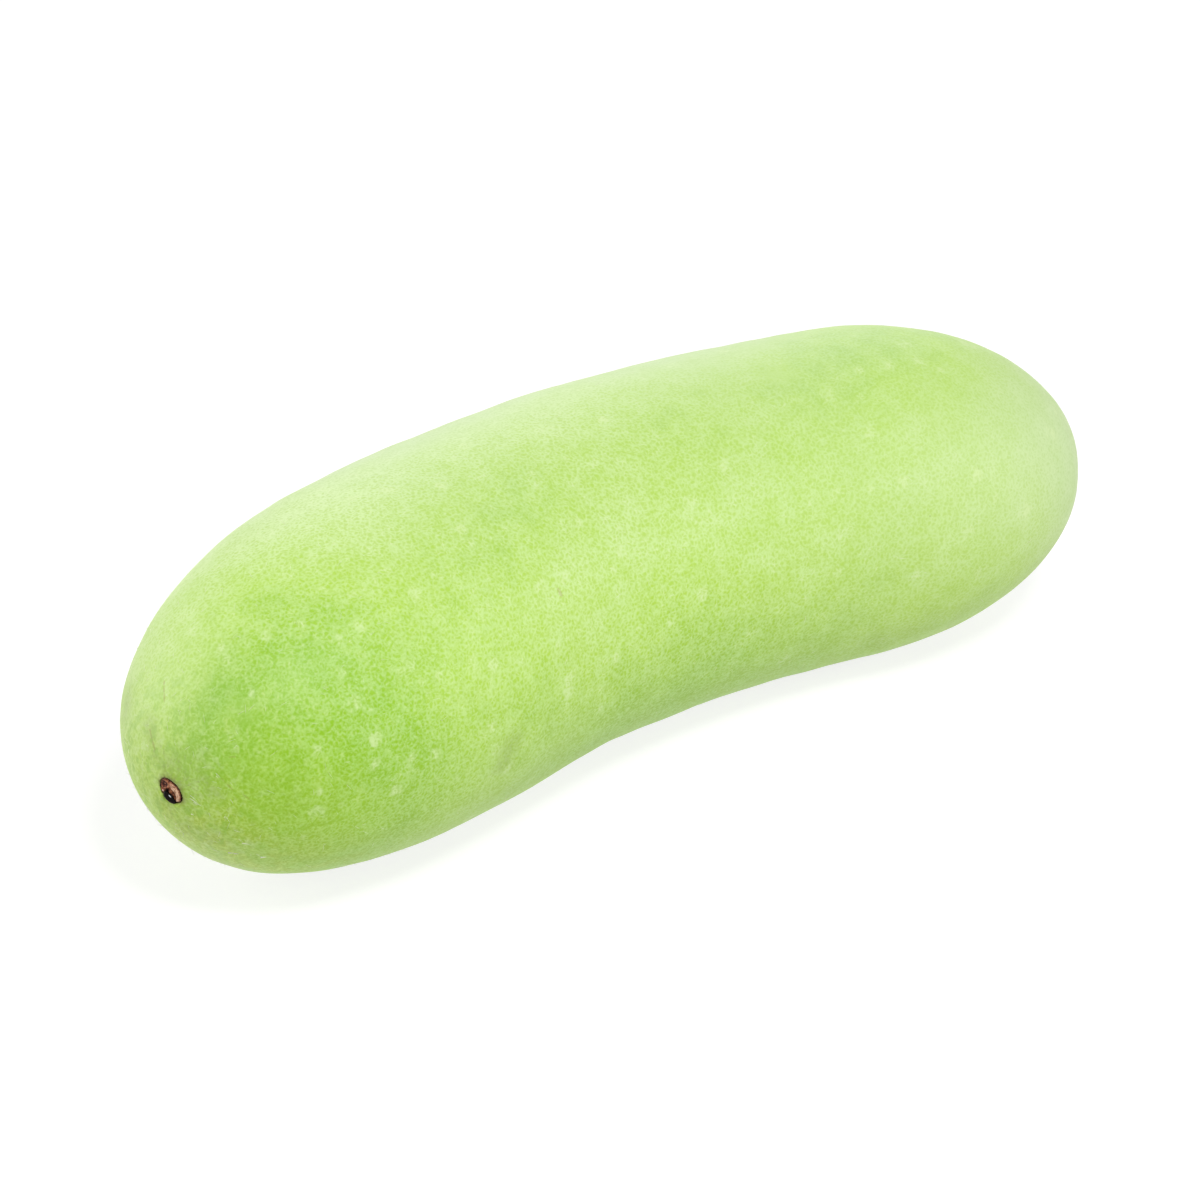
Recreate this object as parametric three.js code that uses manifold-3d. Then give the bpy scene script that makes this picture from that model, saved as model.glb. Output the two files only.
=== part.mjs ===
// A wax gourd (Benincasa hispida) as picked, lying on its side on a level surface.
//
// The fruit is one solid: round cross-sections strung along a bent axis, closed by a blunt cap at each
// end, with a shallow navel at both poles and a narrow flat strip underneath where it rests. What is left
// of its stem is a short dry stub in a socket at the stem pole, with a bead of dried sap on its cut end.
//
// Units are millimetres. +Z is up and +X runs from the stem end to the blossom end. The fruit bends in
// plan, with its hollow side towards -Y. The origin is under the middle of the bounding box, on the
// surface that the fruit rests on.

import * as THREE from "three";
import { mergeVertices } from "three/addons/utils/BufferGeometryUtils.js";
import Module from "manifold-3d";

// The fruit's axis in plan: the control points of a cubic Bezier from the stem pole to the blossom pole.
const axisPlan = [
  [-151.6, -5.6],
  [-60, 25.7],
  [61.6, 37.3],
  [143, -25.6],
];
const midRadius = 47.5; // at the middle of the axis
const taper = -5.9; // change of radius from the stem end to the blossom end
const waist = 5.4; // how much the ends swell over a straight taper, times (t - 1/2) squared
const stemCap = 0.312; // share of the axis that the stem end's cap takes
const blossomCap = 0.237; // the blossom end's cap is shorter, so that end is blunter
const capPower = 2.06; // 2 closes a cap as an ellipse does, and more is blunter

// Gentle swells and hollows of the flesh. t is the place along the axis, and turn is the angle round it
// in degrees, from the -Y side over the top. height is outwards, and spread is a Gaussian's.
const swells = [
  { t: 0.25, turn: 132, height: -0.3, spread: 24 },
  { t: 0.51, turn: 121, height: 0.4, spread: 22 },
  { t: 0.7, turn: 121, height: -0.5, spread: 22 },
  { t: 0.905, turn: 108, height: 0.4, spread: 15 },
  { t: 0.7, turn: 306, height: 0.4, spread: 24 },
  { t: 0.435, turn: 308, height: -0.3, spread: 22 },
  { t: 0.34, turn: 314, height: 0.5, spread: 14 },
  { t: 0.08, turn: 288, height: 0.6, spread: 15 },
  { t: 0.035, turn: 222, height: -0.6, spread: 12 },
];
const stemNavel = { depth: 1.2, spread: 9 }; // how far the skin dips round each pole
const blossomNavel = { depth: 0.8, spread: 5 };
const restDepth = 0.6; // how much of the underside the flat strip takes off

const gap = 0.3; // between pieces that touch
const stub = {
  length: 7, // across its cut end, the longer way
  width: 6, // and the shorter way
  turn: -41, // of the longer way from level, in degrees
  stands: 1.2, // above the floor of the navel
  sinks: 2.2, // below it, in the socket
  taper: 0.8, // how much narrower its foot is
  ribs: 5,
  rib: 0.04, // how far the ribs stand out, as a share of its radius
};
const sap = {
  length: 4.4,
  width: 3,
  height: 1.6,
  offset: [0.7, 1.4], // of its middle from the stub's, the longer way and the shorter way
};

const alongSteps = 56;
const aroundSteps = 48;
const stubSteps = 30;
const sapSteps = 18;

const finish = (color, roughness) =>
  new THREE.MeshStandardMaterial({ color, roughness, metalness: 0 });
const greenSkin = finish(0xb9dc80, 0.5);
const dryStem = finish(0x8a5a3c, 0.85);
const darkSap = finish(0x1a0f0b, 0.15);

// The axis in space. Its height follows the tapered radius, so that the underside is level.
const axis = new THREE.CubicBezierCurve3(
  ...axisPlan.map(
    ([x, y], i) => new THREE.Vector3(x, y, midRadius + taper * (i / 3 - 0.5)),
  ),
);
const zUp = new THREE.Vector3(0, 0, 1);

// How far a cap has closed at share s of its own length from the pole: 0 at the pole, 1 from its end on.
const closing = (s) => (1 - Math.max(0, 1 - s) ** capPower) ** (1 / capPower);

function radiusAt(t) {
  const w = t - 0.5;
  const body = midRadius + taper * w + waist * w * w;
  return body * closing(t / stemCap) * closing((1 - t) / blossomCap);
}

const navelDip = (navel, radius) =>
  navel.depth * Math.exp(-((radius / navel.spread) ** 2));

// A point of the skin at t, and at an angle round the axis, moved outwards by swell.
function skinPoint(t, angle, swell = 0) {
  const along = axis.getTangent(t);
  const side = new THREE.Vector3().crossVectors(along, zUp).normalize();
  const above = new THREE.Vector3().crossVectors(side, along);
  const radius = radiusAt(t);
  const dip =
    t < 0.5 ? navelDip(stemNavel, radius) : -navelDip(blossomNavel, radius);
  return axis
    .getPoint(t)
    .addScaledVector(side, (radius + swell) * Math.cos(angle))
    .addScaledVector(above, (radius + swell) * Math.sin(angle))
    .addScaledVector(along, dip);
}

const swellCentres = swells.map((swell) => ({
  ...swell,
  centre: skinPoint(swell.t, THREE.MathUtils.degToRad(swell.turn)),
}));

function swellAt(point) {
  let height = 0;
  for (const swell of swellCentres) {
    const reach = point.distanceTo(swell.centre) / swell.spread;
    height += swell.height * Math.exp(-reach * reach / 2);
  }
  return height;
}

// The fruit: a lathe of radius against t, whose points are then carried onto the bent axis.
function fruitGeometry() {
  const profile = [];
  for (let i = 0; i <= alongSteps; i++) {
    const t = (1 - Math.cos((Math.PI * i) / alongSteps)) / 2;
    const onPole = i === 0 || i === alongSteps;
    profile.push(new THREE.Vector2(onPole ? 0 : radiusAt(t), t));
  }
  const geometry = new THREE.LatheGeometry(profile, aroundSteps);
  const position = geometry.attributes.position;
  for (let i = 0; i < position.count; i++) {
    const t = position.getY(i);
    const angle = Math.atan2(position.getZ(i), position.getX(i));
    const onPole = t === 0 || t === 1;
    const swell = onPole ? 0 : swellAt(skinPoint(t, angle));
    const point = skinPoint(t, angle, swell);
    position.setXYZ(i, point.x, point.y, point.z);
  }
  return geometry;
}

// The stub, and the socket it sits in when grown by a gap: a lathe about +Y, its cut end up, whose rings
// are then ribbed and made oval. Its foot is narrower than its end.
function stubGeometry(stands, grow = 0) {
  const half = stub.length / 2 + grow;
  const foot = -stub.sinks - grow;
  const profile = [
    [0, foot],
    [half - stub.taper, foot],
    [half, foot + stub.sinks * 0.6],
    [half, stands - 0.4],
    [half - 0.4, stands],
    [0, stands],
  ].map(([x, y]) => new THREE.Vector2(x, y));
  const geometry = new THREE.LatheGeometry(profile, stubSteps);
  const position = geometry.attributes.position;
  const squash = (stub.width / 2 + grow) / half;
  for (let i = 0; i < position.count; i++) {
    const x = position.getX(i);
    const z = position.getZ(i);
    const ribbed = 1 + stub.rib * Math.cos(stub.ribs * Math.atan2(z, x));
    position.setXYZ(i, x * ribbed, position.getY(i), z * ribbed * squash);
  }
  return geometry.rotateY(THREE.MathUtils.degToRad(stub.turn));
}

// The bead of dried sap, and its hollow in the stub when grown by a gap: half sunk in the cut end.
function sapGeometry(grow = 0) {
  const [alongStub, acrossStub] = sap.offset;
  return new THREE.SphereGeometry(1, sapSteps, sapSteps / 2)
    .scale(sap.length / 2 + grow, sap.height / 2 + grow, sap.width / 2 + grow)
    .translate(-alongStub, stub.stands, -acrossStub)
    .rotateY(THREE.MathUtils.degToRad(stub.turn));
}

// From the stub's own frame to its place: on the floor of the stem navel, facing out along the axis.
const onStemPole = new THREE.Matrix4().compose(
  skinPoint(0, 0),
  new THREE.Quaternion().setFromUnitVectors(
    new THREE.Vector3(0, 1, 0),
    axis.getTangent(0).negate(),
  ),
  new THREE.Vector3(1, 1, 1),
);

const wasm = await Module();
wasm.setup();

function toSolid(geometry) {
  const bare = geometry.clone();
  bare.deleteAttribute("normal");
  bare.deleteAttribute("uv");
  const merged = mergeVertices(bare, 1e-4);
  return new wasm.Manifold(
    new wasm.Mesh({
      numProp: 3,
      vertProperties: new Float32Array(merged.attributes.position.array),
      triVerts: new Uint32Array(merged.index.array),
    }),
  );
}

function toMesh(name, solid, material) {
  const { vertProperties, triVerts } = solid.getMesh();
  const geometry = new THREE.BufferGeometry();
  geometry.setAttribute("position", new THREE.BufferAttribute(vertProperties, 3));
  geometry.setIndex(new THREE.BufferAttribute(triVerts, 1));
  geometry.computeVertexNormals();
  const mesh = new THREE.Mesh(geometry, material);
  mesh.name = name;
  return mesh;
}

// The fruit with its underside cut level and the stub's socket cut into its stem pole.
function fruitSolid() {
  const whole = toSolid(fruitGeometry());
  const floor = whole.boundingBox().min[2] + restDepth;
  const blockHeight = 20;
  const block = new THREE.BoxGeometry(400, 400, blockHeight);
  block.translate(0, 0, floor - blockHeight / 2);
  const pastSkin = stub.stands + 3;
  const socket = stubGeometry(pastSkin, gap).applyMatrix4(onStemPole);
  return whole.subtract(toSolid(block)).subtract(toSolid(socket));
}

function stubSolid() {
  const hollow = sapGeometry(gap).applyMatrix4(onStemPole);
  const whole = stubGeometry(stub.stands).applyMatrix4(onStemPole);
  return toSolid(whole).subtract(toSolid(hollow));
}

const gourd = new THREE.Group();
gourd.add(
  toMesh("fruit", fruitSolid(), greenSkin),
  toMesh("stem_stub", stubSolid(), dryStem),
  toMesh("dried_sap", toSolid(sapGeometry().applyMatrix4(onStemPole)), darkSap),
);

// The whole is moved so that the origin is under the middle of its bounding box.
const box = new THREE.Box3().setFromObject(gourd, true);
const middle = box.getCenter(new THREE.Vector3());
gourd.position.set(-middle.x, -middle.y, -box.min.z);

export default gourd;
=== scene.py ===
import math

import bpy
import numpy as np
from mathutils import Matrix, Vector


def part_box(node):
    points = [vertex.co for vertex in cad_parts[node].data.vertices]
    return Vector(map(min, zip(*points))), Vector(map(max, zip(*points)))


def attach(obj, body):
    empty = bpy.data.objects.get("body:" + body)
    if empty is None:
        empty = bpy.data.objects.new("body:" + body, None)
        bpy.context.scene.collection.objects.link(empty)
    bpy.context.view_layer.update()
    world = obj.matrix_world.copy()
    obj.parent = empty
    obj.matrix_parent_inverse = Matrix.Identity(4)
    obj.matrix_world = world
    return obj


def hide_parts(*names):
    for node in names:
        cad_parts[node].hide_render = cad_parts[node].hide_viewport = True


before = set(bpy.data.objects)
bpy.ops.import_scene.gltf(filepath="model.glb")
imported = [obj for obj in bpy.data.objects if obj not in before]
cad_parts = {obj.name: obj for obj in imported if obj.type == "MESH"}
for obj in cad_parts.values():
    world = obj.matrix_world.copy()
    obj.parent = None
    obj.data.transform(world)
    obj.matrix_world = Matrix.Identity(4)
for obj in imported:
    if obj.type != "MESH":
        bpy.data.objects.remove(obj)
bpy.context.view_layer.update()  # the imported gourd: nodes fruit, stem_stub and dried_sap, all on body root
mm = 0.001
print("frame loaded:", ", ".join(sorted(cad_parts)))


# Mesh helpers: a surface is a grid of points, its rings running from one pole to the other.

def gridFaces(rings, around):
    # Quads between neighbouring rings, closed round each ring. Corner k of face (i, j) is a point index.
    i = np.arange(rings - 1)[:, None]
    j = np.arange(around)[None, :]
    following = (j + 1) % around
    corners = [i * around + j, (i + 1) * around + j, (i + 1) * around + following, i * around + following]
    return np.stack([c.ravel() for c in corners], axis=1)


def closedMesh(name, points, firstPole, lastPole, rows=None):
    # points[i, j] is ring i, place j; each end is closed by a fan of triangles to its pole.
    # rows, 0 to 1 for each ring, adds the map OFBake: across it round the ring, up it along the rows.
    rings, around, _ = points.shape
    vertices = np.concatenate([points.reshape(-1, 3), firstPole[None], lastPole[None]])
    quads = gridFaces(rings, around)
    j = np.arange(around)
    following = (j + 1) % around
    poleIndex = rings * around
    lastRing = (rings - 1) * around
    firstFan = np.stack([j, following, np.full(around, poleIndex)], axis=1)
    lastFan = np.stack([lastRing + following, lastRing + j, np.full(around, poleIndex + 1)], axis=1)
    piece = meshFromFaces(name, vertices, quads, np.concatenate([firstFan, lastFan]))
    if rows is not None:
        low, high, middle = j / around, (j + 1) / around, (j + 0.5) / around
        below, above = [np.repeat(r, around) for r in (rows[:-1], rows[1:])]
        left, right = [np.tile(edge, rings - 1) for edge in (low, high)]
        across = np.stack([left, left, right, right], axis=1)
        up = np.stack([below, above, above, below], axis=1)
        fanAcross = np.concatenate([np.stack([low, high, middle], 1), np.stack([high, low, middle], 1)])
        fanUp = np.repeat([[rows[0], rows[0], 0], [rows[-1], rows[-1], 1]], around, axis=0)
        places = np.stack([np.concatenate([across.ravel(), fanAcross.ravel()]),
                           np.concatenate([up.ravel(), fanUp.ravel()])], axis=1)
        layer = piece.data.uv_layers.new(name="OFBake")
        layer.uv.foreach_set("vector", places.astype(np.float32).ravel())
    return piece


def meshFromFaces(name, vertices, quads, triangles):
    mesh = bpy.data.meshes.new(name)
    mesh.vertices.add(len(vertices))
    mesh.vertices.foreach_set("co", vertices.astype(np.float32).ravel())
    corners = np.concatenate([quads.ravel(), triangles.ravel()]).astype(np.int32)
    sizes = np.concatenate([np.full(len(quads), 4), np.full(len(triangles), 3)])
    starts = np.concatenate([[0], np.cumsum(sizes)[:-1]]).astype(np.int32)
    mesh.loops.add(len(corners))
    mesh.loops.foreach_set("vertex_index", corners)
    mesh.polygons.add(len(sizes))
    mesh.polygons.foreach_set("loop_start", starts)
    mesh.update(calc_edges=True)
    mesh.validate()
    mesh.polygons.foreach_set("use_smooth", np.ones(len(sizes), bool))
    piece = bpy.data.objects.new(name, mesh)
    bpy.context.scene.collection.objects.link(piece)
    return piece


def pointAttribute(piece, name, values):
    attribute = piece.data.attributes.new(name, "FLOAT", "POINT")
    attribute.data.foreach_set("value", np.asarray(values, np.float32).ravel())


# Node helpers.

def newMaterial(name):
    material = bpy.data.materials.new(name)
    material.use_nodes = True
    material.node_tree.nodes.clear()
    return material, material.node_tree


def addNode(tree, kind, inputs=None, **settings):
    # Makes a node; inputs are numbers, colours or another node's socket, by socket name or index.
    made = tree.nodes.new(kind)
    for key, value in settings.items():
        setattr(made, key, value)
    for key, value in (inputs or {}).items():
        if isinstance(value, bpy.types.NodeSocket):
            tree.links.new(value, made.inputs[key])
        else:
            made.inputs[key].default_value = value
    return made


def calc(tree, operation, a, b=0.0, clamp=False):
    return addNode(tree, "ShaderNodeMath", {0: a, 1: b}, operation=operation, use_clamp=clamp).outputs[0]


def times(tree, a, b, clamp=False):
    return calc(tree, "MULTIPLY", a, b, clamp)


def plus(tree, value, pattern, amount=1.0, clamp=False):
    # value + amount * pattern
    return calc(tree, "ADD", value, times(tree, pattern, amount), clamp)


def sway(tree, value, pattern, amount, clamp=False):
    # value + amount * (pattern - 0.5), for a pattern whose middle is 0.5
    return plus(tree, value, calc(tree, "SUBTRACT", pattern, 0.5), amount, clamp)


def shade(tree, value, low, high, toLow=0.0, toHigh=1.0):
    # Smooth step of value from low to high.
    settings = {"Value": value, "From Min": low, "From Max": high, "To Min": toLow, "To Max": toHigh}
    return addNode(tree, "ShaderNodeMapRange", settings, interpolation_type="SMOOTHSTEP").outputs[0]


def mixColours(tree, factor, a, b, blend="MIX"):
    made = addNode(tree, "ShaderNodeMix", {0: factor, 6: a, 7: b}, data_type="RGBA", blend_type=blend)
    return made.outputs[2]


def paint(tree, colour, amount, over, blend="MIX"):
    # Lays a plain colour over another.
    return mixColours(tree, amount, colour, (*over, 1), blend)


def perSize(size):
    # The scale of a texture whose features are this many mm across.
    return 1 / (size * mm)


def noise(tree, place, scale, detail=2.0, roughness=0.5, output="Fac"):
    settings = {"Vector": place, "Scale": scale, "Detail": detail, "Roughness": roughness}
    return addNode(tree, "ShaderNodeTexNoise", settings).outputs[output]


def objectPlace(tree):
    return addNode(tree, "ShaderNodeTexCoord").outputs["Object"]


def attribute(tree, name):
    return addNode(tree, "ShaderNodeAttribute", attribute_name=name).outputs["Fac"]


def ramp(tree, value, colours):
    # A colour ramp with its colours at even steps.
    made = addNode(tree, "ShaderNodeValToRGB", {"Fac": value})
    stops = made.color_ramp.elements
    for _ in colours[2:]:
        stops.new(0.5)
    for i, colour in enumerate(colours):
        stops[i].position = i / (len(colours) - 1)
        stops[i].color = (*colour, 1)
    return made.outputs["Color"]


def together(tree, x, y, z):
    return addNode(tree, "ShaderNodeCombineXYZ", {0: x, 1: y, 2: z}).outputs[0]


def vectorCalc(tree, operation, a, b, output="Vector"):
    return addNode(tree, "ShaderNodeVectorMath", {0: a, 1: b}, operation=operation).outputs[output]


def scaled(tree, vector, amount):
    made = addNode(tree, "ShaderNodeVectorMath", {0: vector, "Scale": amount}, operation="SCALE")
    return made.outputs[0]


def alongStroke(tree, place, start, end, width, jag):
    # 1 within a third of the width of the straight line from start to end, fading to 0 at the width.
    # jag makes its edge ragged.
    way = end - start
    fromStart = vectorCalc(tree, "SUBTRACT", place, tuple(start))
    share = vectorCalc(tree, "DOT_PRODUCT", fromStart, tuple(way / (way @ way)), "Value")
    share = calc(tree, "ADD", share, 0.0, clamp=True)
    gap = vectorCalc(tree, "DISTANCE", fromStart, scaled(tree, tuple(way), share), "Value")
    return shade(tree, sway(tree, gap, jag, 3 * width), width, width * 0.35)


def finishMaterial(tree, shader):
    addNode(tree, "ShaderNodeOutputMaterial", {"Surface": shader})


fruit = {  # lengths in mm, angles in degrees, t along the axis from the stem pole to the blossom pole
    "axisPlan": [(-151.6, -5.6), (-60, 25.7), (61.6, 37.3), (143, -25.6)],
    "midRadius": 47.5,
    "taper": -5.9,
    "waist": 5.4,
    "stemCap": 0.312,
    "blossomCap": 0.237,
    "capPower": 2.06,
    "stemNavel": (0.6, 8),  # depth, spread
    "stemOff": (-1.87, -1.46, 8),  # how far the stem stood off the axis, sideways and up, and its reach
    "blossomNavel": (0.8, 5),
    "restDepth": 0.6,
    "swells": [  # t, turn round the axis, height, spread
        (0.25, 132, -0.3, 24),
        (0.51, 121, 0.4, 22),
        (0.70, 121, -0.5, 22),
        (0.905, 108, 0.4, 15),
        (0.70, 306, 0.4, 24),
        (0.435, 308, -0.3, 22),
        (0.34, 314, 0.5, 14),
        (0.08, 288, 0.6, 15),
        (0.035, 222, -0.6, 12),
    ],
    "dents": [  # small ones, as the swells
        (0.262, 353, -0.30, 2.6),
        (0.254, 346, -0.30, 2.6),
        (0.350, 33, -0.12, 2.0),
        (0.040, 156, -0.25, 3.0),
    ],
    "unevenness": [(38, 0.10, 10), (16, 0.05, 14), (7, 0.02, 16)],  # wavelength, height, waves
    "evenPole": (4, 10),  # none of it within this radius, and the distance over which it comes in
    "seed": 5,
    "around": 256,
    "poleRings": (64, 18),  # rings within poleReach of the stem pole and of the blossom pole
    "poleReach": 9,
    "bodyRings": 300,
}

socket = {  # the hollow at the stem's pole that the stub stands in; mm and degrees
    "length": 7.2,
    "width": 5.7,
    "turn": -38,
    "level": -0.6,  # from the pole of the plain skin to the stub's z = 0
    "depth": 2.2,
    "gap": 0.1,  # all round the stub
    "lip": 0.5,  # width over which the wall falls
    "callus": (0.20, 1.1, 0.7, 0.4),  # swelling round it: height, how far out, spread, unevenness
}

axisHeights = [fruit["midRadius"] + fruit["taper"] * (i / 3 - 0.5) for i in range(4)]
axisPoints = np.column_stack([np.array(fruit["axisPlan"], float), axisHeights])


def bezier(t):
    # Cubic Bezier of the axis points and its unit tangent, at each t.
    t = np.asarray(t, float)[..., None]
    s = 1 - t
    a, b, c, d = axisPoints
    place = s**3 * a + 3 * s * s * t * b + 3 * s * t * t * c + t**3 * d
    slope = s * s * (b - a) + 2 * s * t * (c - b) + t * t * (d - c)
    return place, slope / np.linalg.norm(slope, axis=-1, keepdims=True)


def axisFrame(t):
    # Axis point, tangent, and the two directions across it: towards -Y, and up.
    place, along = bezier(t)
    side = np.cross(along, (0, 0, 1))
    side = side / np.linalg.norm(side, axis=-1, keepdims=True)
    return place, along, side, np.cross(side, along)


def closing(share):
    # Superellipse: (1 - (1 - share)^n)^(1/n), 0 at the pole and 1 where the cap ends.
    n = fruit["capPower"]
    return (1 - np.clip(1 - share, 0, 1) ** n) ** (1 / n)


def radiusAt(t):
    # Radius of the round cross-section: middle + taper w + waist w^2, closed at both ends, with w = t - 1/2.
    w = t - 0.5
    body = fruit["midRadius"] + fruit["taper"] * w + fruit["waist"] * w * w
    return body * closing(t / fruit["stemCap"]) * closing((1 - t) / fruit["blossomCap"])


def bell(distance, spread):
    # exp(-(distance / spread)^2 / 2)
    return np.exp(-0.5 * (distance / spread) ** 2)


def smooth(x):
    # 3 x^2 - 2 x^3, held at 0 below 0 and at 1 above 1
    x = np.clip(x, 0, 1)
    return x * x * (3 - 2 * x)


def stubEdge(angle, grow=0.0):
    # Radius of the stub's oval outline at an angle round the pole: a b / |(b cos, a sin)|.
    a = socket["length"] / 2 + grow
    b = socket["width"] / 2 + grow
    own = angle - math.radians(socket["turn"])
    return a * b / np.hypot(b * np.cos(own), a * np.sin(own))


def navelDip(t, angle):
    # Inwards along the axis at both poles, plus the socket that the stub stands in.
    radius = radiusAt(t)
    stemDepth, stemSpread = fruit["stemNavel"]
    blossomDepth, blossomSpread = fruit["blossomNavel"]
    edge = radius - stubEdge(angle, socket["gap"])
    hole = (socket["depth"] + socket["gap"]) * smooth(0.5 - edge / socket["lip"])
    height, away, spread, uneven = socket["callus"]
    callus = height * bell(edge - away, spread) * (1 + uneven * np.sin(5 * angle + 1.0))
    stem = stemDepth * np.exp(-((radius / stemSpread) ** 2)) + hole - callus
    blossom = blossomDepth * np.exp(-((radius / blossomSpread) ** 2))
    return np.where(t < 0.5, stem, -blossom)


def plainSkin(t, angle, outwards=0.0):
    # axis(t) + (radius(t) + outwards) * (cos(angle) side + sin(angle) up) + dip * tangent,
    # with the rings close to the stem moved off the axis.
    place, along, side, up = axisFrame(t)
    reach = (radiusAt(t) + outwards)[..., None]
    ring = np.cos(angle)[..., None] * side + np.sin(angle)[..., None] * up
    offSide, offUp, offReach = fruit["stemOff"]
    near = np.where(t < 0.5, np.exp(-((radiusAt(t) / offReach) ** 2)), 0)[..., None]
    return place + reach * ring + near * (offSide * side + offUp * up) + navelDip(t, angle)[..., None] * along


def atPlace(t, turn):
    return plainSkin(np.array(float(t)), np.array(math.radians(turn)))


def waves(points, wavelength, height, count, generator):
    # Sum of sine waves in random directions: a smooth unevenness with no pattern in it.
    directions = generator.normal(size=(count, 3))
    directions = directions / np.linalg.norm(directions, axis=1, keepdims=True)
    steps = 2 * math.pi / (wavelength * generator.uniform(0.75, 1.35, count))
    phases = generator.uniform(0, 2 * math.pi, count)
    total = np.sin(points @ (directions * steps[:, None]).T + phases).sum(axis=-1)
    return height * total * math.sqrt(2 / count)


def skinSurface(t, angle):
    # The plain skin moved outwards by the swells and the unevenness.
    t, angle = np.broadcast_arrays(t, angle)
    plain = plainSkin(t, angle)
    outwards = np.zeros(t.shape)
    for swellT, turn, height, reach in fruit["swells"] + fruit["dents"]:
        distance = np.linalg.norm(plain - atPlace(swellT, turn), axis=-1)
        outwards += height * bell(distance, reach)
    generator = np.random.default_rng(fruit["seed"])
    poleRadius, fadeIn = fruit["evenPole"]
    awayFromPole = smooth((radiusAt(t) - poleRadius) / fadeIn)
    for wavelength, height, count in fruit["unevenness"]:
        outwards += awayFromPole * waves(plain, wavelength, height, count, generator)
    return plainSkin(t, angle, outwards)


def poleT(radius, cap):
    # Where the cap has this radius: the inverse of the closing curve.
    n = fruit["capPower"]
    return cap * (1 - (1 - (radius / fruit["midRadius"]) ** n) ** (1 / n))


def ringPlaces():
    # Close rings near the poles, and rings at even steps along the skin between them.
    nearStem, nearBlossom = [np.linspace(0, fruit["poleReach"], n + 1)[1:] for n in fruit["poleRings"]]
    stemEnd = poleT(nearStem, fruit["stemCap"])
    blossomEnd = 1 - poleT(nearBlossom, fruit["blossomCap"])[::-1]
    fine = np.linspace(stemEnd[-1], blossomEnd[0], 4000)
    line = plainSkin(fine, np.full(fine.shape, math.pi / 2))
    gone = np.concatenate([[0], np.cumsum(np.linalg.norm(np.diff(line, axis=0), axis=1))])
    even = np.interp(np.linspace(0, gone[-1], fruit["bodyRings"] + 2)[1:-1], gone, fine)
    return np.concatenate([stemEnd, even, blossomEnd])


ringT = ringPlaces()
turns = np.linspace(0, 2 * math.pi, fruit["around"], endpoint=False)
skinPoints = skinSurface(ringT[:, None], turns[None, :])
low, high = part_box("fruit")
ownLow = skinPoints.min(axis=(0, 1))
ownHigh = skinPoints.max(axis=(0, 1))
moved = np.array([
    (low.x + high.x) / 2 / mm - (ownLow[0] + ownHigh[0]) / 2,
    (low.y + high.y) / 2 / mm - (ownLow[1] + ownHigh[1]) / 2,
    -ownLow[2] - fruit["restDepth"],
])


def inFrame(points):
    # From the surface's own mm to the frame's metres, flat where it rests.
    placed = (points + moved) * mm
    placed[..., 2] = np.maximum(placed[..., 2], 0)
    return placed


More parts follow.
